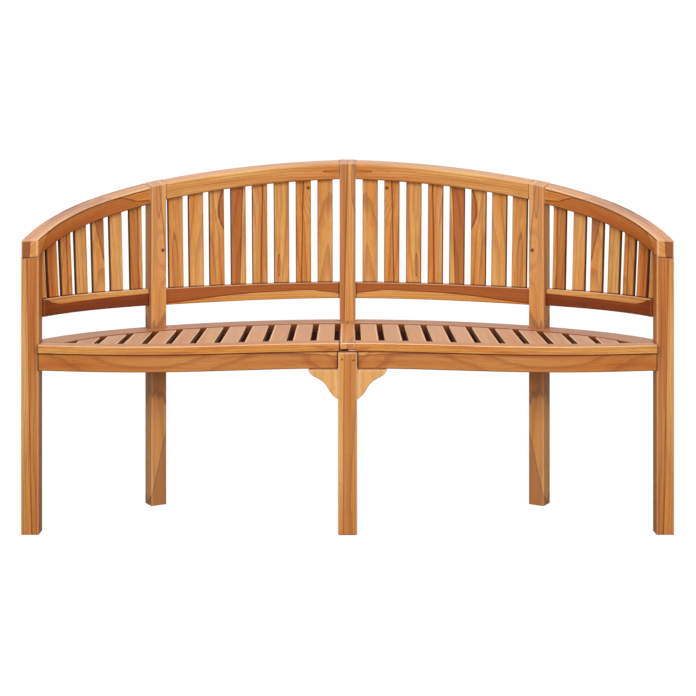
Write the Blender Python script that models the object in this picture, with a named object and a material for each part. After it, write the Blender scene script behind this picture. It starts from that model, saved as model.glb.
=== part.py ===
# Curved garden bench in oiled teak, with a crescent seat and a slatted back that runs round into the arms.
# Metres, +Z up, +X to the right and +Y to the back, both as seen from the front.
# It is drawn with Y = 0 at the fronts of the outer legs. The empty "bench" then sets it about its middle.

import math

import bmesh
import bpy
from mathutils import Vector

# Overall sizes
bench_width = 1.500
leg_front_to_back = 0.439
top_height = 0.8555
seat_height = 0.439
joint_gap = 0.0003

# Outer curve of the back in plan: a wide arc behind the seat, then a tighter arc to each front leg.
# The wide arc ends at these shares of the half width and of the depth behind the legs' fronts.
wide_arc_reach_share = 0.8095
wide_arc_fall_share = 0.5123

# Square stock of the frame
stock = 0.041
post_place_share = 0.7781
centre_leg_width = 0.044
centre_leg_proud = 0.004
foot_ease = 0.003

# Top ring: the arm rails and the top rails, one falling line from the back to the arms' front ends.
# Its fall and the arms' droop are shares of the back's height over the seat.
ring_width = 0.040
ring_depth = 0.040
arm_depth = 0.0425
arm_end_width = 0.0365
ring_fall_share = 0.3979
ring_cross_slope = 0.28
arm_droop_share = 0.0337
arm_droop_power = 4
arm_end_ease_share = 1.0
top_rail_sag = 0.0038
top_rail_sag_power = 0.7

# Lower back rails, a share of the back's height over the seat
lower_rail_place_share = 0.2332
lower_rail_crown = 0.0015
lower_rail_height = 0.041
lower_rail_thickness = 0.025
lower_rail_back_inset = 0.002

# Back slats
slat_thickness = 0.010
centre_slat_width = 0.039
side_slat_width = 0.034
end_slat_width = 0.0175
end_slat_gap = 0.005
slat_foot_inset = 0.018
slat_head_inset = 0.009
centre_panel_shifts = (0.0011, 0.0013, 0.0022, 0.0030, 0.0034, 0.0043, 0.0031, 0.0018)
side_panel_shifts = (-0.0010, 0.0037, 0.0035, 0.0035, 0.0003, -0.0045)

# Seat boards
board_thickness = 0.020
board_width = 0.048
border_width = 0.081
wave_crest = 0.480
wave_height = 0.0293
board_front_mean = -0.0198

# Seat slats and the cleats that carry them. The row ends at a share of the room beside the middle slat.
seat_slat_width = 0.041
seat_slat_drop = 0.0015
seat_slat_thickness = 0.015
seat_slats_each_side = 11
slat_row_share = 0.988
middle_slat_width = 0.0343
cleat_width = 0.020
cleat_depth = 0.024
cleat_bite = 0.0015
lap_inset = 0.0008
lap_root = 0.010

# Aprons and the cross rail under the seat
apron_depth = 0.0395
front_apron_thickness = 0.022
front_apron_setback = 0.009
back_apron_inset = 0.008
back_apron_thickness = 0.022
cross_rail_thickness = 0.022

# Shaped brackets beside the centre leg
bracket_width = 0.070
bracket_drop = 0.070
bracket_thickness = 0.024
bracket_setback = 0.003
bracket_out_shares = (0.98, 0.92, 0.84, 0.68, 0.53, 0.38, 0.28, 0.15, 0.0)
bracket_down_shares = (0.0, 0.10, 0.185, 0.275, 0.355, 0.505, 0.685, 0.855, 0.965)

# Eased edges
frame_ease = 0.0035
board_ease = 0.002
slat_ease = 0.0012
joint_ease_share = 0.15
sharp_angle = math.radians(30)

# Steps along curved pieces
rail_steps = 14
border_steps = 22
board_steps = 16

# Derived counts and places
centre_panel_slats = len(centre_panel_shifts)
side_panel_slats = len(side_panel_shifts)
half_width = bench_width / 2
wide_arc_reach = wide_arc_reach_share * half_width
wide_arc_fall = wide_arc_fall_share * leg_front_to_back
back_radius = (wide_arc_reach**2 + wide_arc_fall**2) / (2 * wide_arc_fall)
back_centre_y = leg_front_to_back - back_radius
blend_angle = math.asin(wide_arc_reach / back_radius)
post_angle = post_place_share * blend_angle
back_rise = top_height - seat_height
lower_rail_top = seat_height + lower_rail_place_share * back_rise
board_bottom = seat_height - board_thickness
apron_top = board_bottom - joint_gap
apron_bottom = apron_top - apron_depth
middle_slat_bottom = seat_height - seat_slat_thickness
seat_slat_top = seat_height - seat_slat_drop
seat_slat_bottom = seat_slat_top - seat_slat_thickness
leg_inner_x = half_width - stock
centre_leg_side = centre_leg_width / 2
middle_slat_side = middle_slat_width / 2


def end_arc():
    """Radius and centre of the arc that leaves the back arc smoothly and ends at the leg's corner."""
    inward = Vector((-math.sin(blend_angle), -math.cos(blend_angle)))
    start = Vector((wide_arc_reach, leg_front_to_back - wide_arc_fall))
    chord = Vector((half_width, 0)) - start
    radius = chord.length_squared / (2 * chord.dot(inward))
    return radius, start + radius * inward


side_radius, side_centre = end_arc()


def ring_point(angle, inset):
    """Plan point at this bearing of the curve, moved in from the outer curve."""
    if angle <= blend_angle:
        radius = back_radius - inset
        return Vector((radius * math.sin(angle), back_centre_y + radius * math.cos(angle)))
    radius = side_radius - inset
    return side_centre + Vector((radius * math.sin(angle), radius * math.cos(angle)))


def bearing(x, y):
    """Bearing of the curve at a plan point of the right half."""
    angle = math.atan2(x, y - back_centre_y)
    if angle <= blend_angle:
        return angle
    return math.atan2(x - side_centre.x, y - side_centre.y)


def angle_at_depth(y, inset):
    """Bearing at which the side arc, moved in, crosses the plane Y = y."""
    return math.acos((y - side_centre.y) / (side_radius - inset))


def angle_beside_post(inset, side):
    """Bearing at which the curve, moved in, meets a side face of the outer post. side is 1 or -1."""
    return post_angle + side * math.asin((stock / 2 + joint_gap) / (back_radius - inset))


def angle_beside_centre(half, inset):
    """Bearing at which the curve, moved in, is half a piece and a gap away from the middle plane."""
    return math.asin((half + joint_gap) / (back_radius - inset))


def run_along(angle, inset):
    """Length along the curve, moved in, from the middle to this bearing."""
    first = min(angle, blend_angle)
    return (back_radius - inset) * first + (side_radius - inset) * max(angle - blend_angle, 0)


def angle_after(run, inset):
    """Bearing after this length along the curve, the inverse of run_along."""
    first_run = (back_radius - inset) * blend_angle
    if run <= first_run:
        return run / (back_radius - inset)
    return blend_angle + (run - first_run) / (side_radius - inset)


def ring_top(x, y):
    """Height of the top ring's upper face, also carried across the posts' tops."""
    angle = bearing(abs(x), y)
    outer_y = ring_point(angle, 0).y
    forward_share = 1 - outer_y / leg_front_to_back
    dip = back_rise * (ring_fall_share * forward_share + arm_droop_share * forward_share**arm_droop_power)
    if angle < post_angle:
        dip += top_rail_sag * math.sin(math.pi * angle / post_angle) ** top_rail_sag_power
    return top_height - dip - ring_cross_slope * (outer_y - y)


def ring_under(x, y):
    """Height of the top ring's lower face. The arms are a little deeper than the top rails."""
    depth = ring_depth if bearing(abs(x), y) < post_angle else arm_depth
    return ring_top(x, y) - depth


def below_ring(x, y):
    """Height for whatever stands under the top ring."""
    return ring_under(x, y) - joint_gap


def lower_rail_upper(x, y):
    """Height of the lower rails' upper face. Behind the seat they are a little higher at the centre post."""
    angle = bearing(abs(x), y)
    if angle > post_angle:
        return lower_rail_top
    return lower_rail_top + lower_rail_crown * math.cos(math.pi * angle / post_angle)


def lower_rail_under(x, y):
    return lower_rail_upper(x, y) - lower_rail_height


def slat_foot(x, y):
    return lower_rail_upper(x, y) + joint_gap


def board_front(x):
    """The waved front edge of the seat."""
    return board_front_mean + wave_height * math.cos(math.pi * x / wave_crest)


def board_back(x):
    return board_front(x) + board_width


def border_inner_y(x):
    """Inner edge of the curved seat border at this distance from the middle."""
    angle = math.asin(x / (back_radius - border_width))
    if angle > blend_angle:
        angle = math.asin((x - side_centre.x) / (side_radius - border_width))
    return ring_point(angle, border_width).y


def border_inner_x(y):
    return ring_point(angle_at_depth(y, border_width), border_width).x


def make_material(name, colour, roughness):
    material = bpy.data.materials.new(name)
    material.diffuse_color = colour
    material.use_nodes = True
    shader = material.node_tree.nodes["Principled BSDF"]
    shader.inputs["Base Color"].default_value = colour
    shader.inputs["Roughness"].default_value = roughness
    shader.inputs["Metallic"].default_value = 0
    return material


def ease_edges(mesh, ends, end_share):
    """Marks sharp edges for the Bevel modifier. The edges of end faces get a share of the full width."""
    weights = mesh.edges.layers.float.new("bevel_weight_edge")
    for edge in mesh.edges:
        if edge.is_convex and edge.calc_face_angle(0) > sharp_angle:
            edge[weights] = 1
    for face in ends:
        for edge in face.edges:
            if edge[weights] > 0:
                edge[weights] = end_share


def loft(name, loops, material, ease, end_share=joint_ease_share, segments=1):
    """A solid skinned over loops of plan-and-height points, all with the same count, closed at both ends."""
    mesh = bmesh.new()
    rings = [[mesh.verts.new(point) for point in loop] for loop in loops]
    count = len(rings[0])
    for near, far in zip(rings, rings[1:]):
        for i in range(count):
            j = (i + 1) % count
            mesh.faces.new((near[i], near[j], far[j], far[i]))
    ends = [mesh.faces.new(reversed(rings[0])), mesh.faces.new(rings[-1])]
    bmesh.ops.recalc_face_normals(mesh, faces=mesh.faces)
    ease_edges(mesh, ends, end_share)
    return add_object(name, mesh, material, ease, segments)


def add_object(name, mesh, material, ease, segments):
    """Puts the mesh in the scene with its origin at its own middle, under the bench's empty."""
    lows = Vector([min(vert.co[i] for vert in mesh.verts) for i in range(3)])
    highs = Vector([max(vert.co[i] for vert in mesh.verts) for i in range(3)])
    middle = (lows + highs) / 2
    bmesh.ops.translate(mesh, verts=mesh.verts, vec=-middle)
    data = bpy.data.meshes.new(name)
    mesh.to_mesh(data)
    mesh.free()
    data.materials.append(material)
    obj = bpy.data.objects.new(name, data)
    obj.location = middle
    obj.parent = bench
    bpy.context.scene.collection.objects.link(obj)
    bevel = obj.modifiers.new("Eased edges", "BEVEL")
    bevel.limit_method = "WEIGHT"
    bevel.width = ease
    bevel.segments = segments
    bevel.use_clamp_overlap = False
    return obj


def mirrored(loops):
    return [[Vector((-point[0], point[1], point[2])) for point in loop] for loop in loops]


def both_sides(name, loops, material, ease, **options):
    """The same piece on the right and, mirrored, on the left."""
    loft(name.replace("*", "right"), loops, material, ease, **options)
    loft(name.replace("*", "left"), mirrored(loops), material, ease, **options)


def upright(corners, foot, heads):
    """Loops of a straight upright: one at its foot and one at its head, whose points may differ in height."""
    return [
        [Vector((x, y, foot)) for x, y in corners],
        [Vector((x, y, head)) for (x, y), head in zip(corners, heads)],
    ]


def square_on_curve(angle, size):
    """Corners of a square section whose back face lies on the outer curve."""
    across = Vector((math.cos(angle), -math.sin(angle))) * size / 2
    back = ring_point(angle, 0)
    front = ring_point(angle, size)
    return [back - across, back + across, front + across, front - across]


def stepped(start, end, steps):
    return [start + (end - start) * i / steps for i in range(steps + 1)]


def rail_loops(insets, start, end, low, high, steps, end_inset=None):
    """Sections of a rail along the curve. start and end give the bearing of each end for an inset,
    so that both ends are cut in the plane of what they meet. end_inset is for a rail that tapers."""
    outer, inner = insets
    last_inner = end_inset or inner
    outer_angles = stepped(start(outer), end(outer), steps)
    inner_angles = stepped(start(inner), end(last_inner), steps)
    inner_insets = stepped(inner, last_inner, steps)
    loops = []
    for outer_angle, inner_angle, inner_inset in zip(outer_angles, inner_angles, inner_insets):
        back = ring_point(outer_angle, outer)
        front = ring_point(inner_angle, inner_inset)
        loops.append([
            Vector((back.x, back.y, low(back.x, back.y))),
            Vector((front.x, front.y, low(front.x, front.y))),
            Vector((front.x, front.y, high(front.x, front.y))),
            Vector((back.x, back.y, high(back.x, back.y))),
        ])
    return loops


def level(height):
    return lambda x, y: height


def from_centre_post(inset):
    return angle_beside_centre(stock / 2, inset)


def to_outer_post(inset):
    return angle_beside_post(inset, -1)


def from_outer_post(inset):
    return angle_beside_post(inset, 1)


def to_leg_back(inset):
    return angle_at_depth(stock + joint_gap, inset)


def make_legs_and_posts():
    material = make_material("oiled teak, square frame stock", (0.45, 0.19, 0.06, 1), 0.42)
    leg = [(leg_inner_x, 0), (half_width, 0), (half_width, stock), (leg_inner_x, stock)]
    heads = [below_ring(x, y) for x, y in leg]
    both_sides("front_leg_*", upright(leg, 0, heads), material, frame_ease, segments=2)
    front, back = -centre_leg_proud, centre_leg_width - centre_leg_proud
    sides = (-centre_leg_side, centre_leg_side)
    centre_leg = [(sides[0], front), (sides[1], front), (sides[1], back), (sides[0], back)]
    leg_top = [board_bottom - joint_gap] * 4
    loft("front_leg_centre", upright(centre_leg, 0, leg_top), material, foot_ease, 1, 2)
    post = square_on_curve(post_angle, stock)
    both_sides("back_post_*", upright(post, 0, [ring_top(x, y) for x, y in post]), material, frame_ease,
               segments=2)
    centre = square_on_curve(0, stock)
    loft("back_post_centre", upright(centre, 0, [ring_top(x, y) for x, y in centre]), material, frame_ease,
         segments=2)


def make_top_ring():
    material = make_material("oiled teak, arms and top rails", (0.47, 0.20, 0.07, 1), 0.40)

    def to_arm_front(inset):
        return angle_at_depth(0, inset)

    insets = (0, ring_width)
    arm = rail_loops(insets, from_outer_post, to_arm_front, ring_under, ring_top, rail_steps,
                     end_inset=arm_end_width)
    both_sides("arm_rail_*", arm, material, frame_ease, end_share=arm_end_ease_share, segments=2)
    rail = rail_loops(insets, from_centre_post, to_outer_post, ring_under, ring_top, rail_steps)
    both_sides("top_rail_*", rail, material, frame_ease, segments=2)


def make_lower_rails():
    material = make_material("oiled teak, lower back rails", (0.40, 0.15, 0.05, 1), 0.42)
    insets = (lower_rail_back_inset, lower_rail_back_inset + lower_rail_thickness)
    faces = (lower_rail_under, lower_rail_upper)
    middle = rail_loops(insets, from_centre_post, to_outer_post, *faces, rail_steps)
    both_sides("lower_rail_*", middle, material, board_ease)
    side = rail_loops(insets, from_outer_post, to_leg_back, *faces, rail_steps)
    both_sides("side_rail_*", side, material, board_ease)


def back_slat(name, angle, width, material):
    """A flat slat square to the curve, leaning out from the lower rail to the top ring."""
    across = Vector((math.cos(angle), -math.sin(angle))) * width / 2
    inward = Vector((-math.sin(angle), -math.cos(angle))) * slat_thickness / 2
    foot, head = ring_point(angle, slat_foot_inset), ring_point(angle, slat_head_inset)
    signs = ((-1, -1), (1, -1), (1, 1), (-1, 1))
    loops = []
    for centre, height in ((foot, slat_foot), (head, below_ring)):
        corners = [centre + across * a + inward * b for a, b in signs]
        loops.append([Vector((x, y, height(x, y))) for x, y in corners])
    both_sides(name, loops, material, slat_ease, end_share=0)


def end_slat_angle(inset):
    """Bearing of the narrow slat whose nearest corner stands a gap behind the front leg."""
    lean = angle_at_depth(stock, inset)
    reach = end_slat_width / 2 * math.sin(lean) + slat_thickness / 2 * math.cos(lean)
    return angle_at_depth(stock + joint_gap + reach, inset)


def make_back_slats():
    material = make_material("oiled teak, back slats", (0.50, 0.23, 0.08, 1), 0.45)
    inset = slat_foot_inset
    start = run_along(from_centre_post(inset), inset)
    end = run_along(to_outer_post(inset), inset)
    gap = (end - start - centre_panel_slats * centre_slat_width) / (centre_panel_slats + 1)
    for i, shift in enumerate(centre_panel_shifts):
        run = start + gap + centre_slat_width / 2 + i * (centre_slat_width + gap) + shift
        back_slat(f"back_slat_*_{i + 1}", angle_after(run, inset), centre_slat_width, material)
    start = run_along(from_outer_post(inset), inset)
    last = end_slat_angle(inset)
    end = run_along(last, inset) - end_slat_width / 2 - end_slat_gap
    gap = (end - start - side_panel_slats * side_slat_width) / side_panel_slats
    for i, shift in enumerate(side_panel_shifts):
        run = start + gap + side_slat_width / 2 + i * (side_slat_width + gap) + shift
        number = centre_panel_slats + i + 1
        back_slat(f"back_slat_*_{number}", angle_after(run, inset), side_slat_width, material)
    number = centre_panel_slats + side_panel_slats + 1
    back_slat(f"back_slat_*_{number}", last, end_slat_width, material)


def crosswise_loops(places, front, back, low, high):
    """Sections of a board that runs along X, with its edges and faces given for each place."""
    return [
        [
            Vector((x, front(x), low)),
            Vector((x, back(x), low)),
            Vector((x, back(x), top)),
            Vector((x, front(x), top)),
        ]
        for x, top in zip(places, high)
    ]


def joined(name, pieces):
    """One solid from overlapping pieces, by a union with each of the others."""
    body = pieces[0]
    body.name = name
    for piece in pieces[1:]:
        union = body.modifiers.new("Join " + piece.name, "BOOLEAN")
        union.operation = "UNION"
        union.solver = "EXACT"
        union.object = piece
        piece.hide_render = True
        piece.display_type = "WIRE"
    return body


def make_front_boards():
    """The right board has a thin lap that runs under the middle slat. The left one stops beside the slat."""
    material = make_material("oiled teak, seat boards", (0.52, 0.25, 0.10, 1), 0.42)
    start = middle_slat_side + joint_gap
    places = stepped(start, leg_inner_x - joint_gap, board_steps)
    tops = [seat_height] * len(places)
    board = crosswise_loops(places, board_front, board_back, board_bottom, tops)
    loft("front_board_left", mirrored(board), material, board_ease)
    right = loft("right board", board, material, board_ease)
    lap = crosswise_loops([joint_gap, start + lap_root], lambda x: board_front(x) + lap_inset,
                          lambda x: board_back(x) - lap_inset, board_bottom + lap_inset,
                          [middle_slat_bottom - joint_gap] * 2)
    joined("front_board_right", [right, loft("board lap", lap, material, slat_ease, 0)])


def border_outline():
    """Plan outline of the right seat border, notched round the posts and the outer leg."""
    centre_notch = stock / 2 + joint_gap
    notch_front = stock + joint_gap
    inner_end = angle_at_depth(board_back(border_inner_x(0)) + joint_gap, border_width)
    middle_start = angle_beside_centre(0, border_width)
    inner = [ring_point(a, border_width) for a in stepped(middle_start, inner_end, border_steps)]
    leg_side = leg_inner_x - joint_gap
    leg_back = stock + joint_gap
    beside_leg = [Vector((leg_side, board_back(leg_side) + joint_gap)), Vector((leg_side, leg_back))]
    side_run = stepped(angle_at_depth(leg_back, 0), angle_beside_post(0, 1), border_steps // 2)
    back_run = stepped(angle_beside_post(0, -1), angle_beside_centre(stock / 2, 0), border_steps // 2)
    across = Vector((math.cos(post_angle), -math.sin(post_angle))) * centre_notch
    notch_floor = ring_point(post_angle, notch_front)
    post_notch = [notch_floor + across, notch_floor - across]
    centre_floor = leg_front_to_back - notch_front
    centre = [Vector((centre_notch, centre_floor)), Vector((joint_gap, centre_floor))]
    outer = [ring_point(a, 0) for a in side_run] + post_notch + [ring_point(a, 0) for a in back_run]
    return inner + beside_leg + outer + centre


def make_seat_border():
    material = make_material("oiled teak, seat border", (0.52, 0.26, 0.11, 1), 0.42)
    outline = border_outline()
    loops = [[Vector((p.x, p.y, z)) for p in outline] for z in (board_bottom, seat_height)]
    both_sides("seat_border_*", loops, material, board_ease, end_share=1)


def seat_slat_loops(x, width, front, back, low, high):
    """A seat slat along Y whose ends are cut to the boards that it meets."""
    sides = (x - width / 2, x + width / 2)
    corners = [(sides[0], front(sides[0])), (sides[1], front(sides[1]))]
    corners += [(sides[1], back(sides[1])), (sides[0], back(sides[0]))]
    return [[Vector((cx, cy, z)) for cx, cy in corners] for z in (low, high)]


def behind_board(x):
    return board_back(x) + joint_gap


def before_border(x):
    return border_inner_y(x) - joint_gap


def cleat_loops(first, last):
    """Front cleat and back cleat: the battens under the slats' ends."""
    top = seat_slat_bottom + cleat_bite
    bottom = top - cleat_depth
    places = stepped(first, last, board_steps)
    tops = [top] * len(places)
    front = crosswise_loops(places, behind_board, lambda x: behind_board(x) + cleat_width, bottom, tops)
    inset = border_width + joint_gap
    start = math.asin(first / (back_radius - inset))
    end = math.asin((last - side_centre.x) / (side_radius - inset))
    insets = (inset, inset + cleat_width)
    back = rail_loops(insets, lambda i: start, lambda i: end, level(bottom), level(top), board_steps)
    return front, back


def make_seat_slats():
    """The middle slat stands by itself. The others of each side are one grille with their two cleats."""
    material = make_material("oiled teak, seat slats", (0.54, 0.28, 0.12, 1), 0.42)
    loops = seat_slat_loops(0, middle_slat_width, board_front, lambda x: before_border(abs(x)),
                            middle_slat_bottom, seat_height)
    loft("seat_slat_centre", loops, material, board_ease, 1)
    span = slat_row_share * border_inner_x(board_back(leg_inner_x)) - middle_slat_side
    gap = (span - seat_slats_each_side * seat_slat_width) / (seat_slats_each_side + 1)
    pitch = seat_slat_width + gap
    first = middle_slat_side + gap + seat_slat_width / 2
    last = first + (seat_slats_each_side - 1) * pitch
    for side, turn in (("right", lambda loops: loops), ("left", mirrored)):
        pieces = []
        for i in range(seat_slats_each_side):
            loops = seat_slat_loops(first + i * pitch, seat_slat_width, behind_board, before_border,
                                    seat_slat_bottom, seat_slat_top)
            pieces.append(loft(f"slat_{side}_{i + 1}", turn(loops), material, board_ease, 1))
        for loops in cleat_loops(first - seat_slat_width / 2, last + seat_slat_width / 2):
            pieces.insert(0, loft(f"cleat_{side}", turn(loops), material, board_ease))
        joined(f"seat_grille_{side}", pieces)


def make_aprons():
    material = make_material("oiled teak, aprons", (0.38, 0.14, 0.05, 1), 0.42)

    def front(x):
        return board_front(x) + front_apron_setback

    def back(x):
        return front(x) + front_apron_thickness

    places = stepped(centre_leg_side + joint_gap, leg_inner_x - joint_gap, board_steps)
    tops = [apron_top] * len(places)
    waved = crosswise_loops(places, front, back, apron_bottom, tops)
    both_sides("front_apron_*", waved, material, board_ease)
    insets = (back_apron_inset, back_apron_inset + back_apron_thickness)
    low, high = level(apron_bottom), level(apron_top)
    curved = rail_loops(insets, from_centre_post, to_outer_post, low, high, rail_steps)
    both_sides("back_apron_*", curved, material, board_ease)
    side = rail_loops(insets, from_outer_post, to_leg_back, low, high, rail_steps)
    both_sides("side_apron_*", side, material, board_ease)
    half = cross_rail_thickness / 2
    leg_back = centre_leg_width - centre_leg_proud + joint_gap
    post_front = leg_front_to_back - stock - joint_gap
    corners = [(-half, leg_back), (half, leg_back), (half, post_front), (-half, post_front)]
    loft("cross_rail", upright(corners, apron_bottom, [apron_top] * 4), material, board_ease, 1)


def make_brackets():
    material = make_material("oiled teak, brackets", (0.60, 0.34, 0.14, 1), 0.45)
    side = centre_leg_side + joint_gap
    top = apron_bottom - joint_gap
    outline = [(side, top)]
    for out, down in zip(bracket_out_shares, bracket_down_shares):
        outline.append((side + out * bracket_width, top - down * bracket_drop))
    front = bracket_setback - centre_leg_proud
    loops = [[Vector((x, y, z)) for x, z in outline] for y in (front, front + bracket_thickness)]
    both_sides("bracket_*", loops, material, slat_ease, end_share=1)


def set_about_middle():
    """Puts the origin under the middle of the bench, on the floor."""
    foremost = board_front(wave_crest)
    bench.location = (0, -(leg_front_to_back + foremost) / 2, 0)


for old in list(bpy.data.objects):
    bpy.data.objects.remove(old)

bench = bpy.data.objects.new("bench", None)
bpy.context.scene.collection.objects.link(bench)
set_about_middle()
make_legs_and_posts()
make_top_ring()
make_lower_rails()
make_back_slats()
make_front_boards()
make_seat_border()
make_seat_slats()
make_aprons()
make_brackets()
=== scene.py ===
import math
import random

import bpy
import numpy
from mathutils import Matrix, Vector


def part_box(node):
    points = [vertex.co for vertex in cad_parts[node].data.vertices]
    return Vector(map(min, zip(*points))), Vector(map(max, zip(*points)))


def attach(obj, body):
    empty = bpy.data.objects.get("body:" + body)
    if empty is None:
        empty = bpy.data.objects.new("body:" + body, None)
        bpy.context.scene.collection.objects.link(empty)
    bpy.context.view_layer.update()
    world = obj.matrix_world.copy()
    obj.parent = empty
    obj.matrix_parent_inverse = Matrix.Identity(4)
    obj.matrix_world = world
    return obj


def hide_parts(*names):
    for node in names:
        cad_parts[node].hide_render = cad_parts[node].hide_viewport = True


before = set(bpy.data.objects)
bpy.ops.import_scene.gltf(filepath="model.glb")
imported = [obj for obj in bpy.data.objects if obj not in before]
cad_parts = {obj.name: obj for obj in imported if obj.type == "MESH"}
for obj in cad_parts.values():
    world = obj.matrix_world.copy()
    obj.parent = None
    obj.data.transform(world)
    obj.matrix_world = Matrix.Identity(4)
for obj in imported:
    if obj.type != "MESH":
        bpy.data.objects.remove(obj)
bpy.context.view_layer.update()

# Curved garden bench in oiled teak: the finish of every piece, its pegs and plugs, the studio and the camera.
# Lengths are metres unless a name says mm. +X is the viewer's right and -Y faces the camera.

sides = {"left": -1, "right": 1}
up = (0, 0, 1)
right = (1, 0, 0)
back = (0, 1, 0)
ringMiddleY = -0.69  # the back curves round a point this far in front of the bench's middle
farAway = 50.0  # where a knot, a patch or a vein goes when a piece has none

photo = {
    "size": 696,
    "distance": 3.296,  # from the camera to the fronts of the outer legs
    "eyeHeight": 0.9181,
    "focalPixels": 1436.07,
    "middleX": 347.6,
    "horizonY": 135.0,
    "sensorMm": 36,
}

studio = {
    "floorSize": 14,
    "floorWhite": "#f6f6f6",
    "floorGrey": "#aaa39b",  # what the floor throws back up at the bench
    "floorGlow": 0.955,  # share of pure white in what the camera sees, so that the shadow stays faint
    "floorFade": (0.9, 2.4),  # the floor turns wholly white between these distances from the middle
    "ambient": 0.29,
    "reflected": 0.72,  # how bright the surroundings are in the oil's sheen
    "backdrop": 1.03,  # a little over white, so that it stays pure white
}
# The oil's sheen comes from above only, which keeps the fronts deep-coloured
softboxes = {
    "key": {"place": (0, -3.6, 1.6), "aim": (0, 0, 0.45), "size": (3.4, 1.5), "watts": 130, "inSheen": False},
    "top": {"place": (0, 0.3, 3.4), "aim": (0, 0.1, 0.4), "size": (3.0, 2.0), "watts": 52, "inSheen": True},
    "back": {"place": (0, 3.6, 1.7), "aim": (0, 0.2, 0.5), "size": (3.2, 1.4), "watts": 46, "inSheen": False},
}

# Teak fresh from the mill and oiled: golden sapwood, red-brown heartwood, darker late wood, short open pores
teak = {
    "light": "#ecbd83",
    "pale": "#deac66",
    "golden": "#d08c3e",
    "red": "#b96028",
    "heart": "#984815",
    "dark": "#551f0a",
    "line": "#70290b",  # borders, veins and the rims of patches
    # The knot's colour is also the painted shade on shaded sides and edges
    "knot": "#411405",
    # Eased edges: paler from wear and from a painted highlight where the rounding catches the light
    "worn": "#f3cba4",
    "upper": "#d8ab8d",  # upper faces, painted paler and pinker as the sheen of the bright surroundings on them
    "upperShare": 0.48,
    "redStreaks": 1.9,  # how much redder or yellower the streaks are
    "ringMm": 7,  # growth rings, drawn coarser than the real 3 mm so that they show
    "ringsAtScale1": 3.1831,  # rings to the metre in a wave texture of scale 1
    "ringStretch": (0.22, 1, 1),
    "waver": (0, 0.02, 0.02),  # how far the grain wanders sideways
    "knotReach": (0.3, 1, 1),  # a knot draws the grain aside over a longer way than its width
    "knotPull": (0, 0.012, 0.012),
    "raggedHeart": 0.012,  # how far the streaks push the heartwood's border about
    "borderOfDepth": 1.6,  # a border is as strong as the heartwood is deep-coloured times this
    "borderMost": 0.9,
    "raggedPatch": 1.2,
    "rimAt": 1.05,  # in shares of the patch's size
    "rimOfFill": 2,
    "rimMost": 0.85,
    "bentVein": 0.006,
    "poreShare": 0.45,
    "poreDepth": 0.8,
    "bumpStrength": 0.25,
    "bumpDepth": 0.0004,
    "fineDullness": 0.16,  # how much rougher the fine grain and the faces with painted shade are
    "sawnDullness": 0.35,
    "oilGloss": 0.08,  # and how much smoother the oil leaves the rest
    "ior": 1.47,
}

# The wood's figures: length and width in millimetres, detail and fineness
figures = {
    "waver": (500, 160, 2, 0.5),
    "cloud": (900, 60, 2, 0.5),  # slow changes of tone
    "streak": (620, 17, 3, 0.5),
    "fine": (260, 2.0, 3, 0.6),
    "pore": (11, 0.4, 1, 0.5),
}

# Where each mark begins, where it is full, and how strongly it then colours: in shares of a figure as far as
# the pores, in metres as far as the lit edge, and then in shares of a patch's size
markRanges = {
    "pale": (0.38, 0.68, 1.0),
    "streak": (0.60, 0.74, 0.5),
    "late": (0.55, 1.0, 0.36),  # the late wood of each ring
    "fine": (0.42, 0.72, 0.42),
    "pore": (0.62, 0.72, 1.0),
    "heart": (-0.0012, 0.0018, 1.0),
    "border": (0.0022, 0.0008, 1.0),  # the dark line between sapwood and heartwood
    "vein": (0.0024, 0.0008, 0.9),
    "pull": (0.03, 0.0, 1.0),  # how near to a knot the grain bends
    "halo": (0.0075, 0.0045, 0.5),  # the brown round a knot
    "knot": (0.0045, 0.0024, 0.9),
    "joint": (0.0036, 0.0014, 0.85),  # the dark line painted where a piece meets another, as the shade in the joint
    "lit": (0.0052, 0.0036, 0.9),  # the painted highlight along the lit edge of a seat slat
    "patch": (1.1, 0.95, 1.0),
    "rim": (0.16, 0.04, 1.0),
}
marks = {word: {"interpolation_type": "SMOOTHSTEP", 1: begin, 2: full, 4: most}
         for word, (begin, full, most) in markRanges.items()}

# What each face corner tells the teak: "grain", its place in the log; "tone", how red, dark and deep-coloured
# the piece is; "heart", how deep it lies in the heartwood; "vein", "knot", "patch" and "otherPatch", where it
# lies from those; "tips", how far from the piece's ends and lit edge; and "sort", its kind of face
tells = {
    "grain": "FLOAT_VECTOR",
    "tone": "FLOAT_VECTOR",
    "heart": "FLOAT",
    "vein": "FLOAT",
    "knot": "FLOAT_VECTOR",
    "patch": "FLOAT_VECTOR",
    "otherPatch": "FLOAT_VECTOR",
    "tips": "FLOAT_VECTOR",
    "sort": "FLOAT_VECTOR",
}


def linearPart(value):
    return value / 12.92 if value <= 0.04045 else ((value + 0.055) / 1.055) ** 2.4


def colour(hexCode):
    return tuple(linearPart(int(hexCode[i:i + 2], 16) / 255) for i in (1, 3, 5)) + (1,)


# Adds a node and gives its outputs. A setting that is a property of the node sets it, and any other is the
# name or number of an input, which takes a value or the output of another node.
def addNode(tree, kind, settings):
    node = tree.nodes.new("ShaderNode" + kind)
    for key, value in settings.items():
        if isinstance(key, str) and key in node.bl_rna.properties:
            setattr(node, key, value)
        elif isinstance(value, bpy.types.NodeSocket):
            tree.links.new(value, node.inputs[key])
        else:
            node.inputs[key].default_value = value
    return node.outputs


def newMaterial(name):
    material = bpy.data.materials.new(name)
    material.use_nodes = True
    tree = material.node_tree
    tree.nodes.clear()
    return material, tree
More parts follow.
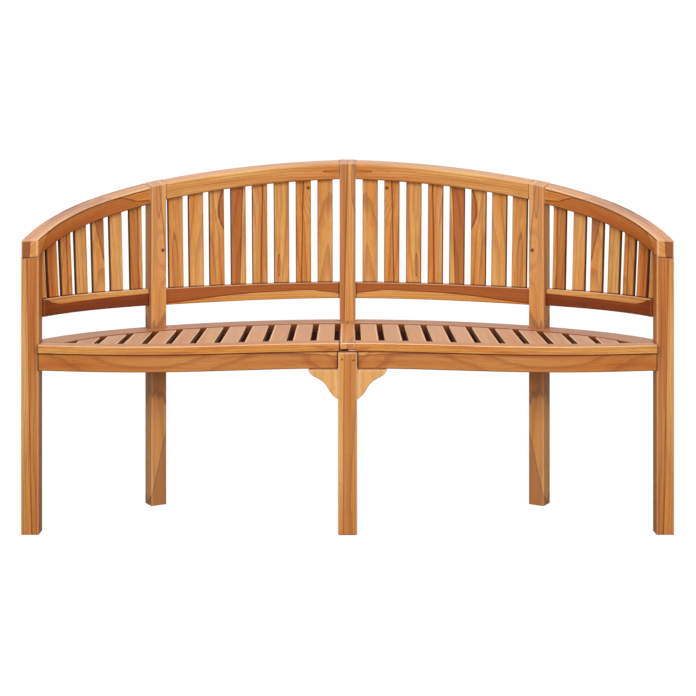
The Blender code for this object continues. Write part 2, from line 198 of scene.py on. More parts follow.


# Oiled teak, planed and sanded: a satin sheen that dulls in the fine grain and on the faces with painted
# shade
def makeTeak(name, roughness):
    material, tree = newMaterial(name)
    told = {}
    for word, kind in tells.items():
        outputs = addNode(tree, "Attribute", {"attribute_name": word})
        told[word] = outputs["Fac" if kind == "FLOAT" else "Vector"]
    red, dark, depth = addNode(tree, "SeparateXYZ", {0: told["tone"]})
    edge, upper, shadeOrRim = addNode(tree, "SeparateXYZ", {0: told["sort"]})
    lowTip, highTip, litEdge = addNode(tree, "SeparateXYZ", {0: told["tips"]})
    sawn = addNode(tree, "Math", {"operation": "MAXIMUM", 0: shadeOrRim, 1: 0.0})[0]  # below 0 off a rim

    # A figure at its real size, stretched along the grain
    def figure(word, place):
        length, width, detail, fineness = figures[word]
        perMetre = (1000 / length, 1000 / width, 1000 / width)
        sized = addNode(tree, "VectorMath", {"operation": "MULTIPLY", 0: place, 1: perMetre})[0]
        return addNode(tree, "TexNoise", {"Vector": sized, "Scale": 1, "Detail": detail,
                                          "Roughness": fineness})

    # The grain wavers a little along its length and runs round a knot
    waver = figure("waver", told["grain"])["Color"]
    wavered = addNode(tree, "VectorMath", {"operation": "MULTIPLY_ADD", 0: waver, 1: teak["waver"],
                                           2: told["grain"]})[0]
    knotRange = addNode(tree, "VectorMath", {"operation": "LENGTH", 0: told["knot"]})[1]
    squeezed = addNode(tree, "VectorMath", {"operation": "MULTIPLY", 0: told["knot"],
                                            1: teak["knotReach"]})[0]
    pullRange = addNode(tree, "VectorMath", {"operation": "LENGTH", 0: squeezed})[1]
    pullShare = addNode(tree, "MapRange", {**marks["pull"], 0: pullRange})[0]
    pull = addNode(tree, "VectorMath", {"operation": "SCALE", 0: teak["knotPull"], "Scale": pullShare})[0]
    wood = addNode(tree, "VectorMath", {"operation": "ADD", 0: wavered, 1: pull})[0]

    cloud, streak, fine, pore = (figure(word, wood)["Fac"] for word in ("cloud", "streak", "fine", "pore"))
    stretched = addNode(tree, "VectorMath", {"operation": "MULTIPLY", 0: wood, 1: teak["ringStretch"]})[0]
    rings = addNode(tree, "TexWave", {"wave_type": "RINGS", "rings_direction": "X", "wave_profile": "SAW",
                                      "Scale": 1000 / teak["ringMm"] / teak["ringsAtScale1"],
                                      "Distortion": 2.5, "Detail": 2, "Detail Scale": 0.6,
                                      "Vector": stretched})["Fac"]

    # Distances from the heartwood's border, which is ragged along the grain, from the vein and from the ends
    streakOff = addNode(tree, "Math", {"operation": "SUBTRACT", 0: streak, 1: 0.5})[0]
    cloudOff = addNode(tree, "Math", {"operation": "SUBTRACT", 0: cloud, 1: 0.5})[0]
    raggedHeart = addNode(tree, "Math", {"operation": "MULTIPLY_ADD", 0: streakOff, 1: teak["raggedHeart"],
                                         2: told["heart"]})[0]
    fromBorder = addNode(tree, "Math", {"operation": "ABSOLUTE", 0: raggedHeart})[0]
    bentVein = addNode(tree, "Math", {"operation": "MULTIPLY_ADD", 0: cloudOff, 1: teak["bentVein"],
                                      2: told["vein"]})[0]
    fromVein = addNode(tree, "Math", {"operation": "ABSOLUTE", 0: bentVein})[0]
    fromTips = addNode(tree, "Math", {"operation": "MINIMUM", 0: lowTip, 1: highTip})[0]
    measures = {"pale": cloud, "streak": streak, "late": rings, "fine": fine, "pore": pore,
                "heart": raggedHeart, "border": fromBorder, "vein": fromVein, "halo": knotRange,
                "knot": knotRange, "joint": fromTips, "lit": litEdge}
    shares = {word: addNode(tree, "MapRange", {**marks[word], 0: measure})[0]
              for word, measure in measures.items()}

    # The colours lie over each other in layers, from golden or pale to the painted shade of the joints
    redShare = addNode(tree, "Math", {"operation": "MULTIPLY_ADD", "use_clamp": True, 0: streakOff,
                                      1: teak["redStreaks"], 2: red})[0]
    heartShare = addNode(tree, "Math", {"operation": "MULTIPLY", 0: shares["heart"], 1: depth})[0]
    pastFull = addNode(tree, "Math", {"operation": "SUBTRACT", 0: depth, 1: 1.0})[0]
    pastShare = addNode(tree, "Math", {"operation": "MULTIPLY", 0: shares["heart"], 1: pastFull})[0]
    borderDepth = addNode(tree, "Math", {"operation": "MULTIPLY", 0: depth, 1: teak["borderOfDepth"]})[0]
    borderFull = addNode(tree, "Math", {"operation": "MINIMUM", 0: borderDepth, 1: teak["borderMost"]})[0]
    borderShare = addNode(tree, "Math", {"operation": "MULTIPLY", 0: shares["border"], 1: borderFull})[0]
    layers = [(shares["pale"], "pale"), (redShare, "red"), (heartShare, "heart"), (pastShare, "dark"),
              (borderShare, "line"), (shares["streak"], "heart")]
    for word in ("patch", "otherPatch"):
        fill = addNode(tree, "SeparateXYZ", {0: told[word]})[2]
        flat = addNode(tree, "VectorMath", {"operation": "MULTIPLY", 0: told[word], 1: (1, 1, 0)})[0]
        patchRange = addNode(tree, "VectorMath", {"operation": "LENGTH", 0: flat})[1]
        ragged = addNode(tree, "Math", {"operation": "MULTIPLY_ADD", 0: streakOff, 1: teak["raggedPatch"],
                                        2: patchRange})[0]
        inPatch = addNode(tree, "MapRange", {**marks["patch"], 0: ragged})[0]
        darker = addNode(tree, "Math", {"operation": "MULTIPLY", 0: inPatch, 1: fill})[0]
        lighter = addNode(tree, "Math", {"operation": "MULTIPLY", 0: darker, 1: -1.0})[0]
        pastRim = addNode(tree, "Math", {"operation": "SUBTRACT", 0: ragged, 1: teak["rimAt"]})[0]
        fromRim = addNode(tree, "Math", {"operation": "ABSOLUTE", 0: pastRim})[0]
        onRim = addNode(tree, "MapRange", {**marks["rim"], 0: fromRim})[0]
        strength = addNode(tree, "Math", {"operation": "ABSOLUTE", 0: fill})[0]
        rimDepth = addNode(tree, "Math", {"operation": "MULTIPLY", 0: strength, 1: teak["rimOfFill"]})[0]
        rimFull = addNode(tree, "Math", {"operation": "MINIMUM", 0: rimDepth, 1: teak["rimMost"]})[0]
        rimShare = addNode(tree, "Math", {"operation": "MULTIPLY", 0: onRim, 1: rimFull})[0]
        layers += [(darker, "heart"), (lighter, "pale"), (rimShare, "line")]
    poreShare = addNode(tree, "Math", {"operation": "MULTIPLY", 0: shares["pore"], 1: teak["poreShare"]})[0]
    lightShare = addNode(tree, "Math", {"operation": "MULTIPLY", 0: dark, 1: -1.0})[0]
    # Upper faces get a painted sheen, paler and pinker
    upperShare = addNode(tree, "Math", {"operation": "MULTIPLY", 0: upper, 1: teak["upperShare"]})[0]
    layers += [(shares["vein"], "line"), (shares["late"], "line"), (shares["fine"], "heart"),
               (poreShare, "dark"), (dark, "dark"), (lightShare, "light"), (upperShare, "upper"),
               (edge, "worn"), (shares["lit"], "worn"), (sawn, "knot"), (shares["halo"], "heart"),
               (shares["knot"], "knot"), (shares["joint"], "knot")]
    base = colour(teak["golden"])
    for share, tint in layers:
        base = addNode(tree, "Mix", {"data_type": "RGBA", 0: share, 6: base, 7: colour(teak[tint])})[2]

    relief = addNode(tree, "Math", {"operation": "MULTIPLY_ADD", 0: shares["pore"], 1: -teak["poreDepth"],
                                    2: fine})[0]
    bump = addNode(tree, "Bump", {"Strength": teak["bumpStrength"], "Distance": teak["bumpDepth"],
                                  "Height": relief})[0]
    dullness = addNode(tree, "Math", {"operation": "MULTIPLY_ADD", 0: sawn, 1: teak["sawnDullness"],
                                      2: roughness - teak["oilGloss"]})[0]
    satin = addNode(tree, "Math", {"operation": "MULTIPLY_ADD", 0: fine, 1: teak["fineDullness"],
                                   2: dullness})[0]
    shader = addNode(tree, "BsdfPrincipled", {"IOR": teak["ior"], "Metallic": 0.0, "Base Color": base,
                                              "Roughness": satin, "Normal": bump})[0]
    addNode(tree, "OutputMaterial", {0: shader})
    return material


joining = {
    "mergeGap": 1e-5,  # the CAD mesh is loose triangles, so corners closer than this are one
    "flatAngle": math.radians(0.25),
    "smoothAngle": math.radians(42),
}


def selectOnly(thing):
    bpy.ops.object.select_all(action="DESELECT")
    thing.select_set(True)
    bpy.context.view_layer.objects.active = thing


# A copy of a CAD node with its corners joined and its coplanar triangles made one face
def copyOf(nodeName, pieceName):
    piece = bpy.data.objects.new(pieceName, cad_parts[nodeName].data.copy())
    bpy.context.scene.collection.objects.link(piece)
    selectOnly(piece)
    bpy.ops.mesh.customdata_custom_splitnormals_clear()
    bpy.ops.object.mode_set(mode="EDIT")
    bpy.ops.mesh.select_all(action="SELECT")
    bpy.ops.mesh.remove_doubles(threshold=joining["mergeGap"])
    bpy.ops.mesh.dissolve_limited(angle_limit=joining["flatAngle"])
    bpy.ops.object.mode_set(mode="OBJECT")
    return piece


def shadeRound(piece):
    selectOnly(piece)
    bpy.ops.object.shade_smooth_by_angle(angle=joining["smoothAngle"])
    weighted = piece.modifiers.new("Flat faces stay flat", "WEIGHTED_NORMAL")
    weighted.keep_sharp = True
    bpy.ops.object.modifier_apply(modifier=weighted.name)


# What a piece of wood has unless its own look says otherwise. A patch is its middle along and across, its
# half length and half width, and how much darker it is than the rest, or lighter if that is below 0.
plainLook = {
    "red": 0.3,
    "dark": 0.0,  # below 0 is lighter
    "depth": 1.0,  # of the heartwood's colour, which over 1 goes on to the darkest brown
    "heartSide": 1,  # -1 where the heartwood lies on the other side of its border
    "endBefore": -farAway,  # forward of this y, the heartwood's border stands upright at endX
    "knot": (farAway, 0),
    "patch": (farAway, 0, 1, 1, 0),
    "otherPatch": (farAway, 0, 1, 1, 0),
    "follow": 0.0,  # how far the grain follows the piece's own bend
    "upper": 1.0,  # how much painted sheen the upper faces get
    "sawn": 0.0,  # painted shade on the two sides, which also makes them rougher
    "roughFaces": 0.0,  # and the other faces
    "worn": 0.35,  # how pale the eased edges are, from wear and from a painted highlight
    "sawnEdge": 0.0,  # how dark they are
    "underEdge": 0.3,  # and those that look down, painted as shade
    "farRim": 0.0,  # widths of the dark lines that rimOf draws
    "innerRim": 0.0,
    "openEnds": (False, False),  # an open end has no painted joint shade
    "plainHigh": False,  # the eased edge at the high end isn't pale
    "litSide": False,  # the outer upper edge catches the light
    "zones": {},
}
logRoom = {
    "shift": (-3, 3),  # where along the log a piece may come from
    "pith": ((-0.06, 0.06), (0.05, 0.11)),  # how far across and deep the log's middle may lie from the piece
}
cornerSnap = {
    "end": 0.008,  # corners this near a slanted end count as its end
    "top": 0.004,  # corners this near the top count as its upper edges
}
easedEdge = {
    "widthMm": 4.2,  # faces narrower than this, with fewer corners than these, are eased edges
    "corners": 6,
}
# How far a face's normal points a way before the face counts as turned that way
turned = {"up": 0.7, "down": -0.3, "aside": 0.8, "rimUp": 0.6, "upright": 0.5, "inward": -0.05,
          "armEnd": -0.9, "forward": -0.5}
outsideHeart = -1.0  # a depth that is well out in the sapwood


# Writes what the teak is told at each corner of each face. The look's along and across are the directions of
# the grain and of the width on the left half. Both halves carry the same figure, mirrored, as the photograph
# shows. zoneOf names the zone of a face where one node holds several pieces of wood.
def layGrain(piece, look, zoneOf=None):
    mirror = Vector((-sides["right" if "Right" in piece.name else "left"], 1, 1))
    along, across = Vector(look["along"]).normalized(), Vector(look["across"]).normalized()
    axes = (along, across, along.cross(across))
    mesh = piece.data
    points = [vert.co * mirror for vert in mesh.vertices]
    names = [zoneOf(face) if zoneOf else "whole" for face in mesh.polygons]
    members = {}
    for face, name in zip(mesh.polygons, names):
        members.setdefault(name, set()).update(face.vertices)
    full = {**plainLook, **look}
    woods = {}
    for name in sorted(members):
        own = {**full, **full["zones"].get(name, {})}
        woods[name] = pieceOfWood(piece.name + name, axes, own, [points[i] for i in sorted(members[name])])
    columns = {key: [] for key in tells}
    for face, name in zip(mesh.polygons, names):
        wood = woods[name]
        corners = [points[i] for i in face.vertices]
        sort = sortOf(mesh, face, face.normal * mirror, face.center * mirror, wood)
        rim = None if isEased(mesh, face) else rimOf(face, corners, wood["look"])
        for point in corners:
            told = cornerTells(wood, point)
            told["sort"] = (*sort[:2], rim(point)) if rim else sort
            for key in columns:
                columns[key].append(told[key])
    for key, kind in tells.items():
        attribute = mesh.attributes.new(key, kind, "CORNER")
        if kind == "FLOAT":
            attribute.data.foreach_set("value", columns[key])
        else:
            attribute.data.foreach_set("vector", [part for value in columns[key] for part in value])


def pieceOfWood(name, axes, look, points):
    dice = random.Random("teak " + name.replace("Right", "Left"))
    shift = dice.uniform(*logRoom["shift"])
    pith = look.get("pith", tuple(dice.uniform(*room) for room in logRoom["pith"]))
    middle = sum(points, Vector()) / len(points)
    runs, widths, depths = ([(point - middle).dot(axis) for point in points] for axis in axes)
    follow = look["follow"]
    curves = [numpy.polyfit(runs, values, 2) * follow if follow else (0, 0, 0) for values in (widths, depths)]
    return {"axes": axes, "look": look, "middle": middle, "low": min(runs), "high": max(runs),
            "outer": min(widths), "top": max(point.z for point in points), "curves": curves,
            "place": Vector((shift, *pith))}


# The grain follows a curved piece as far as its look says: it leaves out the piece's own bend
def grainAt(wood, local):
    bends = [float(numpy.polyval(curve, local.x)) for curve in wood["curves"]]
    return local + wood["place"] - Vector((0, *bends))


def cornerTells(wood, point):
    look = wood["look"]
    local = Vector([(point - wood["middle"]).dot(axis) for axis in wood["axes"]])
    openLow, openHigh = look["openEnds"]
    isLit = look["litSide"] and point.z > wood["top"] - cornerSnap["top"]
    knotAlong, knotAcross = look["knot"]
    return {
        "grain": grainAt(wood, local),
        "tone": (look["red"], look["dark"], look["depth"]),
        "heart": heartDepth(wood, point, local),
        "vein": local.y - lineAt(look["vein"], wood, local) if "vein" in look else farAway,
        "knot": (local.x - knotAlong, local.y - knotAcross, 0),
        "patch": fromPatch(look["patch"], local),
        "otherPatch": fromPatch(look["otherPatch"], local),
        "tips": (fromTip(local.x - wood["low"], openLow), fromTip(wood["high"] - local.x, openHigh),
                 local.y - wood["outer"] if isLit else farAway),
    }


# All corners of a slanted end count as its end
def fromTip(distance, isOpen):
    if isOpen:
        return farAway
    return max(distance - cornerSnap["end"], 0) if distance < cornerSnap["end"] * 2 else distance


def fromPatch(patch, local):
    along, across, halfLength, halfWidth, fill = patch
    return ((local.x - along) / halfLength, (local.y - across) / halfWidth, fill)


# Where a line across the piece passes, given at its low and high ends
def lineAt(line, wood, local):
    share = (local.x - wood["low"]) / (wood["high"] - wood["low"])
    return line[0] + (line[1] - line[0]) * share


# How deep a point lies in the heartwood, negative in the sapwood
def heartDepth(wood, point, local):
    look = wood["look"]
    if "heartLine" in look:
        return (local.y - lineAt(look["heartLine"], wood, local)) * look["heartSide"]
    if "heartPath" in look:
        if point.y < look["endBefore"]:
            return look["endX"] - point.x
        place = point[look["pathAxis"]]
        return (heightAlong(look["heartPath"], place) - point.z) * look["heartSide"]
    return outsideHeart


# The height of a border that runs through places and heights, at any place
def heightAlong(path, place):
    if place <= path[0][0]:
        return path[0][1]
    for (start, low), (end, high) in zip(path, path[1:]):
        if place <= end:
            return low + (high - low) * (place - start) / (end - start)
    return path[-1][1]


def isEased(mesh, face):
    corners = [mesh.vertices[i].co for i in face.vertices]
    longest = max((a - b).length for a, b in zip(corners, corners[1:] + corners[:1]))
    return face.area < longest * easedEdge["widthMm"] / 1000 and len(corners) < easedEdge["corners"]


# A face's kind as three shares: how pale from wear and painted highlight, how much painted sheen as an upper
# face, and how dark from painted shade and how rough
def sortOf(mesh, face, normal, middle, wood):
    look = wood["look"]
    if isEased(mesh, face):
        if normal.z < turned["down"]:
            return (0.0, 0.0, look["underEdge"])
        run = (middle - wood["middle"]).dot(wood["axes"][0])
        isJoint = look["plainHigh"] and wood["high"] - run < cornerSnap["end"]
        return (0.0 if isJoint else look["worn"], 0.0, look["sawnEdge"])
    isSide = abs(normal.dot(wood["axes"][1])) > turned["aside"]
    return (0.0, look["upper"] if normal.z > turned["up"] else 0.0, look["sawn" if isSide else "roughFaces"])


# A dark line along the arms: on the far rim of the upper faces and the top rim of the inner sides. Its share
# is 1 at the rim and goes so far below 0 at the other corners that it fades over its width.
def rimOf(face, corners, look):
    isInner = abs(face.normal.z) < turned["upright"] and face.normal.y < turned["inward"]
    if face.normal.z > turned["rimUp"] and look["farRim"]:
        width, measure = look["farRim"], outward
    elif isInner and look["innerRim"]:
        width, measure = look["innerRim"], height
    else:
        return None
    places = [measure(corner) for corner in corners]
    middle = sum(places) / len(places)
    onRim = [place for place in places if place > middle]
    offRim = [place for place in places if place <= middle]
    if not onRim or len(corners) < 4:  # a level face or a triangle has no rim
        return None
    span = sum(onRim) / len(onRim) - sum(offRim) / len(offRim)
    return lambda point: 1.0 if measure(point) > middle else 1 - span / width


def outward(point):
    return math.hypot(point.x, point.y - ringMiddleY)


def height(point):
    return point.z


def finishPiece(piece, material, nodeName):
    piece.data.materials.clear()
    piece.data.materials.append(material)
    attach(piece, "root")
    if nodeName:
        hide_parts(nodeName)


def dress(nodeName, look, material, zoneOf=None):
    words = nodeName.split("_")
    pieceName = words[0] + "".join(word.capitalize() for word in words[1:])
    piece = copyOf(nodeName, pieceName)
    shadeRound(piece)
    layGrain(piece, look, zoneOf)
    finishPiece(piece, material, nodeName)


def dressBoth(nodeName, look, material, zoneOf=None):
    for side in sides:
        dress(nodeName.replace("*", side), look, material, zoneOf)


frameLook = {
    "leg": {"along": up, "across": right, "red": 0.36, "dark": 0.03, "heartLine": (0.0042, -0.0064),
            "depth": 0.36, "worn": 0.2, "openEnds": (True, False)},
    "centreLeg": {"along": up, "across": right, "red": 0.3, "dark": -0.05, "heartLine": (-0.0095, -0.0095),
                  "depth": 0.35, "openEnds": (True, True)},
    "post": {"along": up, "across": (0.851, 0.525, 0), "red": 0.16, "dark": -0.22, "sawn": 0.12, "worn": 0.15,
             "knot": (0.233, 0.0103), "patch": (0.375, -0.001, 0.06, 0.008, 0.45),
             "otherPatch": (-0.040, 0.0, 0.09, 0.06, 0.75),  # the shade under the apron
             "heartLine": (-0.0245, 0.168), "depth": 0.8, "vein": (0.0806, 0.0), "openEnds": (True, True)},
    "centrePost": {"along": up, "across": right, "red": 0.0, "dark": -0.12, "worn": 0.15,
                   "heartLine": (-0.0165, 0.0005), "heartSide": -1, "depth": 0.6,
                   "patch": (0.372, 0.0205, 0.06, 0.009, 0.5), "vein": (0.0172, 0.0172),
                   "openEnds": (True, True)},
}


def dressFrame():
    material = makeTeak("Oiled teak, planed square stock", roughness=0.42)
    dressBoth("front_leg_*", frameLook["leg"], material)
    dress("front_leg_centre", frameLook["centreLeg"], material)
    dressBoth("back_post_*", frameLook["post"], material)
    dress("back_post_centre", frameLook["centrePost"], material)


ringLook = {
    "arm": {"along": (-0.45, -0.75, -0.30), "across": (0.86, -0.5, 0), "red": 0.3, "follow": 0.9, "worn": 0.4,
            "underEdge": 0.6, "farRim": 0.006, "innerRim": 0.0045, "depth": 0.5, "openEnds": (False, True),
            "endBefore": -0.189, "endX": -0.7301, "pathAxis": 1,
            "heartPath": ((-0.172, 0.656), (-0.160, 0.688), (-0.140, 0.7000), (-0.1215, 0.7100),
                          (-0.0743, 0.7325), (-0.043, 0.7455), (-0.015, 0.7605), (0.0005, 0.7655),
                          (0.018, 0.7640), (0.0365, 0.756)),
            "zones": {"end": {"dark": -0.08, "depth": 1.35, "innerRim": 0.0, "openEnds": (True, True)}}},
    "top": {"along": (0.95, 0.27, 0.1), "across": up, "red": 0.22, "follow": 0.85, "worn": 0.0,
            "underEdge": 0.6, "pith": (0.16, 0.03), "patch": (0.217, 0.015, 0.03, 0.004, 0.5)},
}


# The arms' front ends show end grain
def armZone(face):
    return "end" if face.normal.y < turned["armEnd"] else "length"


def dressRing():
    material = makeTeak("Oiled teak, shaped arms and top rails", roughness=0.40)
    dressBoth("arm_rail_*", ringLook["arm"], material, armZone)
    dressBoth("top_rail_*", ringLook["top"], material)


lowerRailLook = {
    "middle": {"along": (0.96, 0.28, 0), "across": up, "red": 0.1, "follow": 0.9, "depth": 0.85,
               "pith": (0.15, 0.04), "heartSide": -1, "pathAxis": 0,
               "heartPath": ((-0.452, 0.4985), (-0.30, 0.5114), (-0.097, 0.5192), (-0.025, 0.5089))},
    # The side rails' heartwood is deepened past full to the darkest brown: partly its own colour, partly
    # painted shade under the arms
    "side": {"along": (0.62, 0.78, 0), "across": up, "red": 0.15, "follow": 0.9, "depth": 1.7, "pathAxis": 1,
             "heartPath": ((-0.160, 0.5377), (-0.102, 0.5152), (0.073, 0.5235))},
}


def dressLowerRails():
    material = makeTeak("Oiled teak, curved lower rails", roughness=0.42)
    dressBoth("lower_rail_*", lowerRailLook["middle"], material)
    dressBoth("side_rail_*", lowerRailLook["side"], material)


# What all the back slats share: their sides and eased edges are painted dark, as the shade between the slats
slatSides = {"along": up, "sawn": 0.95, "worn": 0.0, "sawnEdge": 0.7, "underEdge": 0.0}
slatLooks = {
    1: {"red": 0.10, "dark": -0.04},
    2: {"red": 0.12, "vein": (-0.0062, 0.0), "knot": (0.109, 0.013)},
    3: {"red": 0.22, "patch": (-0.087, -0.008, 0.026, 0.0035, 0.5)},
    4: {"red": 0.48, "vein": (0.0018, 0.0082)},
    5: {"red": 0.12, "heartLine": (0.0033, 0.0125), "heartSide": -1, "depth": 0.7},
    6: {"red": 0.15, "patch": (0.067, 0.0196, 0.0425, 0.0155, 0.55)},
    7: {"red": 0.10, "dark": -0.06},
    8: {"red": 0.0, "dark": -0.12, "patch": (-0.08, -0.003, 0.09, 0.007, 0.4)},
    9: {"red": 0.15, "heartLine": (0.004, 0.004), "heartSide": -1, "depth": 0.42},
    10: {"red": 0.0, "dark": -0.2},
    11: {"red": 0.0, "dark": -0.08, "heartLine": (0.035, -0.0114), "depth": 0.62},
    12: {"red": 0.12},
    13: {"red": 0.18, "dark": -0.05, "vein": (0.002, 0.002)},
    14: {"red": 0.38},
    15: {"red": 0.3, "dark": -0.1},
}


def dressBackSlats():
    material = makeTeak("Oiled teak, thin back slats", roughness=0.45)
    for number, look in slatLooks.items():
        low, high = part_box(f"back_slat_left_{number}")
        middle = (low + high) / 2
        bearing = math.atan2(-middle.x, middle.y - ringMiddleY)
        across = (math.cos(bearing), math.sin(bearing), 0)
        dressBoth(f"back_slat_*_{number}", {**slatSides, **look, "across": across}, material)


seatLooks = {
    "board": {"along": right, "across": back, "red": 0.2, "follow": 0.9, "worn": 0.5, "underEdge": 0.9,
              "pith": (0.02, 0.14)},
    # The border's sides and eased edges are painted dark, as the shade in the seat's gaps
    "border": {"along": (0.87, 0.49, 0), "across": (-0.49, 0.87, 0), "red": 0.5, "dark": 0.05, "follow": 0.9,
               "worn": 0.0, "sawnEdge": 0.55, "sawn": 0.75, "upper": 0.6, "openEnds": (True, True)},
    # A seat slat's sides are painted dark, as the shade in the gaps, and its eased edges and lit outer edge
    # pale, from wear and a painted highlight
    "slat": {"along": back, "across": right, "red": 0.2, "openEnds": (True, True), "sawn": 0.8, "worn": 0.9,
             "litSide": True, "plainHigh": True},
}
seatLooks["middleSlat"] = {**seatLooks["slat"], "red": 0.0, "dark": -0.12, "heartLine": (0.0, 0.05),
                           "depth": 0.5, "upper": 0.35, "sawn": 0.3}
# How red and how dark each slat of a grille is, and how much painted sheen its upper face gets, from the
# middle outwards
seatSlatTones = ((0.05, -0.17, 1.0), (0.15, -0.08, 1.3), (0.35, -0.06, 0.9), (0.0, -0.22, 1.2),
                 (0.2, -0.06, 1.6), (0.05, -0.06, 0.9), (0.25, -0.06, 0.9), (0.4, -0.15, 1.4),
                 (0.05, 0.0, 1.0), (0.3, -0.1, 1.2), (0.2, -0.05, 0.9))
grilleZones = {f"slat{i}": {"red": red, "dark": dark, "upper": upper}
               for i, (red, dark, upper) in enumerate(seatSlatTones)}
# The cleats under the slats are painted dark, as the shade in the seat's gaps, and get no painted sheen
grilleZones["cleats"] = {"dark": 0.95, "sawn": 0.9, "roughFaces": 0.9, "sawnEdge": 0.9, "worn": 0.0,
                         "upper": 0.0, "litSide": False}
seatLooks["grille"] = {**seatLooks["slat"], "zones": grilleZones}
# Where the slats of a grille and the cleats under them lie in the CAD
seatSlatRow = {"first": 0.0523, "pitch": 0.05569, "bottom": 0.4225, "cleatTop": 0.4240, "slack": 0.0002}


# Which slat of a grille a face belongs to, or the cleats under them
def slatOf(face):
    slack = seatSlatRow["slack"]
    isCleatTop = face.normal.z > turned["up"] and face.center.z < seatSlatRow["cleatTop"] + slack
    if isCleatTop or face.center.z < seatSlatRow["bottom"] - slack:
        return "cleats"
    return f"slat{round((abs(face.center.x) - seatSlatRow['first']) / seatSlatRow['pitch'])}"


def dressSeat():
    boards = makeTeak("Oiled teak, seat boards", roughness=0.42)
    dressBoth("front_board_*", seatLooks["board"], boards)
    border = makeTeak("Oiled teak, curved seat border", roughness=0.42)
    dressBoth("seat_border_*", seatLooks["border"], border)
    slats = makeTeak("Oiled teak, seat slats", roughness=0.42)
    dress("seat_slat_centre", seatLooks["middleSlat"], slats)
    dressBoth("seat_grille_*", seatLooks["grille"], slats, slatOf)


apronLooks = {
    "front": {"along": right, "across": up, "red": 0.24, "dark": -0.02, "follow": 0.9, "worn": 0.15,
              "pith": (0.04, 0.3), "depth": 0.45, "pathAxis": 0,
              "heartPath": ((-0.30, 0.4195), (-0.22, 0.4165), (-0.10, 0.4125), (-0.022, 0.4085))},
    "back": {"along": (0.96, 0.28, 0), "across": up, "red": 0.4, "follow": 0.9,
             "zones": {"shaded": {"dark": 0.8}}},
    "side": {"along": (0.62, 0.78, 0), "across": up, "red": 0.4, "follow": 0.9},
    "cross": {"along": back, "across": up, "red": 0.3,
              "zones": {"shaded": {"dark": 0.9, "upper": 0.0, "roughFaces": 0.9}}},
}


# Faces under the seat that look up or forward are painted dark, as the shade that falls under the seat
def shadeZone(face):
    isShaded = face.normal.z > turned["up"] or face.normal.y < turned["forward"]
    return "shaded" if isShaded else "rest"


def dressAprons():
    material = makeTeak("Oiled teak, aprons", roughness=0.42)
    dressBoth("front_apron_*", apronLooks["front"], material)
    dressBoth("back_apron_*", apronLooks["back"], material, shadeZone)
    dressBoth("side_apron_*", apronLooks["side"], material)
    dress("cross_rail", apronLooks["cross"], material, shadeZone)


bracketLook = {"along": up, "across": right, "red": 0.1, "dark": -0.38, "openEnds": (True, True)}


def dressBrackets():
    material = makeTeak("Oiled teak, sawn brackets", roughness=0.45)
    dressBoth("bracket_*", bracketLook, material)


# Round plugs over the screws: two pegs in the centre leg's front and one plug in each outer post's side.
# Their places and directions are on the left half.
plugs = {
    "peg": {"radius": 0.0029, "dark": 0.85, "facing": (0, -1, 0), "onSides": ("left",),
            "places": ((-0.0128, -0.19895, 0.4034), (0.0135, -0.19895, 0.4014))},
    "plug": {"radius": 0.0050, "dark": -0.35, "facing": (-0.8514, -0.5245, 0), "onSides": ("left", "right"),
             "places": ((-0.49545, 0.07745, 0.4659),)},
}
plugCut = {"corners": 28, "proud": 0.0003, "sunk": 0.0040, "ease": 0.0009}


# Each kind is modelled once, standing at the origin, and copied to its places
def addPlugs():
    material = makeTeak("Teak plugs, end grain", roughness=0.5)
    for kind, look in plugs.items():
        model = modelPlug(look)
        for number, place in enumerate(look["places"], 1):
            for side in look["onSides"]:
                ending = side.capitalize() if len(look["onSides"]) > 1 else ""
                plug = bpy.data.objects.new(f"{kind}{number}{ending}", model.data.copy())
                bpy.context.scene.collection.objects.link(plug)
                setPlug(plug, place, look, -sides[side])
                finishPiece(plug, material, None)
        bpy.data.objects.remove(model)


def modelPlug(look):
    bpy.ops.object.select_all(action="DESELECT")
    bpy.ops.mesh.primitive_cylinder_add(vertices=plugCut["corners"], radius=look["radius"],
                                        depth=plugCut["proud"] + plugCut["sunk"])
    plug = bpy.context.object
    rim = plug.modifiers.new("Eased rim", "BEVEL")
    rim.width = plugCut["ease"]
    bpy.ops.object.modifier_apply(modifier=rim.name)
    return plug


# Sinks a plug into the wood at its place, turned over to the right half where turn is -1
def setPlug(plug, place, look, turn):
    facing = Vector((look["facing"][0] * turn, *look["facing"][1:])).normalized()
    outwards = (plugCut["proud"] - plugCut["sunk"]) / 2
    plug.location = Vector((place[0] * turn, *place[1:])) + facing * outwards
    plug.rotation_euler = facing.to_track_quat("Z", "Y").to_euler()
    selectOnly(plug)
    bpy.ops.object.transform_apply(location=True, rotation=True, scale=True)
    shadeRound(plug)
    layGrain(plug, {"along": facing * Vector((turn, 1, 1)), "across": up, "dark": look["dark"],
                    "openEnds": (True, True), "worn": 0.0, "sawnEdge": 1.0})


def makeStudio():
    world = bpy.data.worlds.new("Soft white studio")
    bpy.context.scene.world = world
    world.use_nodes = True
    tree = world.node_tree
    tree.nodes.clear()
    path = addNode(tree, "LightPath", {})
    sheen = addNode(tree, "MapRange", {0: path["Is Glossy Ray"], 3: studio["ambient"],
                                       4: studio["reflected"]})[0]
    strength = addNode(tree, "MapRange", {0: path["Is Camera Ray"], 3: sheen, 4: studio["backdrop"]})[0]
    light = addNode(tree, "Background", {"Color": (1, 1, 1, 1), "Strength": strength})[0]
    addNode(tree, "OutputWorld", {0: light})
    for name, look in softboxes.items():
        addSoftbox(name, look)
    makeFloor()


def addSoftbox(name, look):
    aim = Vector(look["aim"]) - Vector(look["place"])
    turn = aim.to_track_quat("-Z", "Y").to_euler()
    bpy.ops.object.light_add(type="AREA", location=look["place"], rotation=turn)
    lamp = bpy.context.object
    lamp.name = "Softbox " + name
    lamp.data.shape = "RECTANGLE"
    lamp.data.size, lamp.data.size_y = look["size"]
    lamp.data.energy = look["watts"]
    lamp.visible_glossy = look["inSheen"]


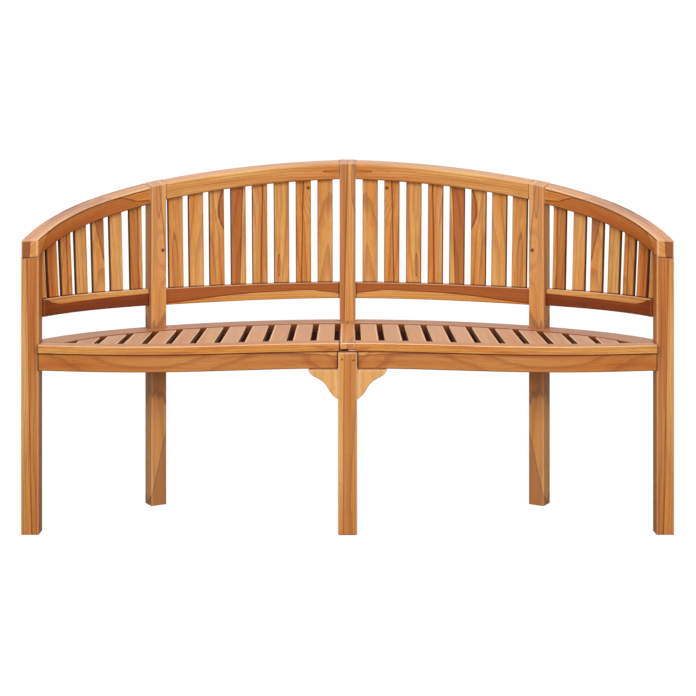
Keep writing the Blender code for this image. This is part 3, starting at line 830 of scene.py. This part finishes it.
# Matt paper: pure white further out and, near the feet, just dull enough to show a faint shadow
def makeFloor():
    bpy.ops.object.select_all(action="DESELECT")
    bpy.ops.mesh.primitive_plane_add(size=studio["floorSize"], location=(0, 0, 0))
    floor = bpy.context.object
    floor.name = "studioFloor"
    material, tree = newMaterial("Matt white paper floor")
    isSeen = addNode(tree, "LightPath", {})["Is Camera Ray"]
    place = addNode(tree, "TexCoord", {})["Object"]
    distance = addNode(tree, "VectorMath", {"operation": "LENGTH", 0: place})[1]
    near, far = studio["floorFade"]
    white = addNode(tree, "MapRange", {"interpolation_type": "SMOOTHSTEP", 0: distance, 1: near, 2: far,
                                       3: studio["floorGlow"], 4: 1.0})[0]
    share = addNode(tree, "Math", {"operation": "MULTIPLY", 0: white, 1: isSeen})[0]
    tint = addNode(tree, "Mix", {"data_type": "RGBA", 0: isSeen, 6: colour(studio["floorGrey"]),
                                 7: colour(studio["floorWhite"])})[2]
    paper = addNode(tree, "BsdfDiffuse", {"Color": tint})[0]
    glow = addNode(tree, "Emission", {"Color": (1, 1, 1, 1), "Strength": studio["backdrop"]})[0]
    both = addNode(tree, "MixShader", {0: share, 1: paper, 2: glow})[0]
    addNode(tree, "OutputMaterial", {0: both})
    floor.data.materials.append(material)


# A level camera at eye height in front of the middle, shifted down to the photograph's framing
def makeCamera():
    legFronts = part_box("front_leg_left")[0].y
    place = (0, legFronts - photo["distance"], photo["eyeHeight"])
    bpy.ops.object.camera_add(location=place, rotation=(math.radians(90), 0, 0))
    camera = bpy.context.object
    camera.name = "Camera in front of the bench"
    camera.data.sensor_width = photo["sensorMm"]
    camera.data.lens = photo["sensorMm"] * photo["focalPixels"] / photo["size"]
    camera.data.shift_x = 0.5 - photo["middleX"] / photo["size"]
    camera.data.shift_y = photo["horizonY"] / photo["size"] - 0.5
    bpy.context.scene.camera = camera


makeCamera()
makeStudio()
print("Camera and studio are in place")
dressFrame()
dressRing()
dressLowerRails()
print("Frame, ring and lower rails are dressed")
dressBackSlats()
print("Back slats are dressed")
dressSeat()
dressAprons()
dressBrackets()
print("Seat, aprons and brackets are dressed")
addPlugs()
print("Pegs and plugs are in")

bpy.context.scene.view_settings.view_transform = "Standard"
